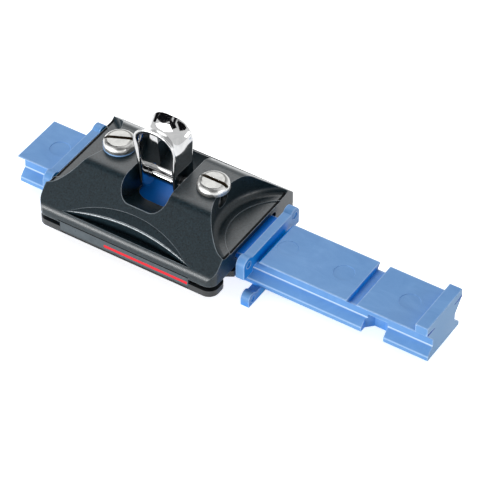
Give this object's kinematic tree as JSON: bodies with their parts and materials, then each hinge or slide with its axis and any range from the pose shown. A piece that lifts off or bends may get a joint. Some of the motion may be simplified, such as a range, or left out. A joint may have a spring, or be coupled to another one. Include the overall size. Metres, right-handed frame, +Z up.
{
  "type": "traveller car",
  "caption": "Ball-bearing traveller car with a flared swinging shackle, slotted screws and striped side plates, held on a blue ball-loader rail between two lift-out keeper bars.",
  "frame": {"origin": "under the middle of the loader rail's length, on the plane that its two lower bars stand on", "axes": "+X along the rail towards its lipped end, +Y across the rail away from the near side, +Z up"},
  "size_m": [0.215, 0.07, 0.0628],
  "materials": {
    "rail_plastic": "satin blue moulding",
    "black_anodised": "black hard anodised, fine satin grain",
    "guide_plastic": "black moulding",
    "label_plate": "grey plate with a plain red stripe",
    "ball_plastic": "smooth dark balls",
    "stainless": "polished stainless steel",
    "ring_plastic": "pale blue ring"
  },
  "bodies": {
    "rail": {"loader_rail": "rail_plastic"},
    "left_bar": {"left_keeper": "rail_plastic"},
    "right_bar": {"right_keeper": "rail_plastic"},
    "car": {"car_body": "black_anodised", "near_ball_guide": "guide_plastic", "far_ball_guide": "guide_plastic", "near_label": "label_plate", "far_label": "label_plate", "near_load_balls": "ball_plastic", "near_return_balls": "ball_plastic", "near_turn_balls": "ball_plastic", "far_load_balls": "ball_plastic", "far_return_balls": "ball_plastic", "far_turn_balls": "ball_plastic", "near_guide_screws": "stainless", "far_guide_screws": "stainless", "left_screw": "stainless", "right_screw": "stainless", "lock_ring": "ring_plastic", "shackle_pin": "stainless"},
    "shackle": {"shackle": "stainless"}
  },
  "joints": [
    {"name": "car_slide", "type": "slide", "parent": "rail", "child": "car", "axis": [1, 0, 0], "range_m": [-0.0004, 0.0038]},
    {"name": "left_bar_lift", "type": "slide", "parent": "rail", "child": "left_bar", "axis": [0, 0, 1], "range_m": [0, 0.012]},
    {"name": "right_bar_lift", "type": "slide", "parent": "rail", "child": "right_bar", "axis": [0, 0, 1], "range_m": [0, 0.012]},
    {"name": "shackle_swing", "type": "hinge", "parent": "car", "child": "shackle", "pos_m": [-0.0355, 0, 0.032], "axis": [1, 0, 0], "range_deg": [-40, 40]}
  ]
}
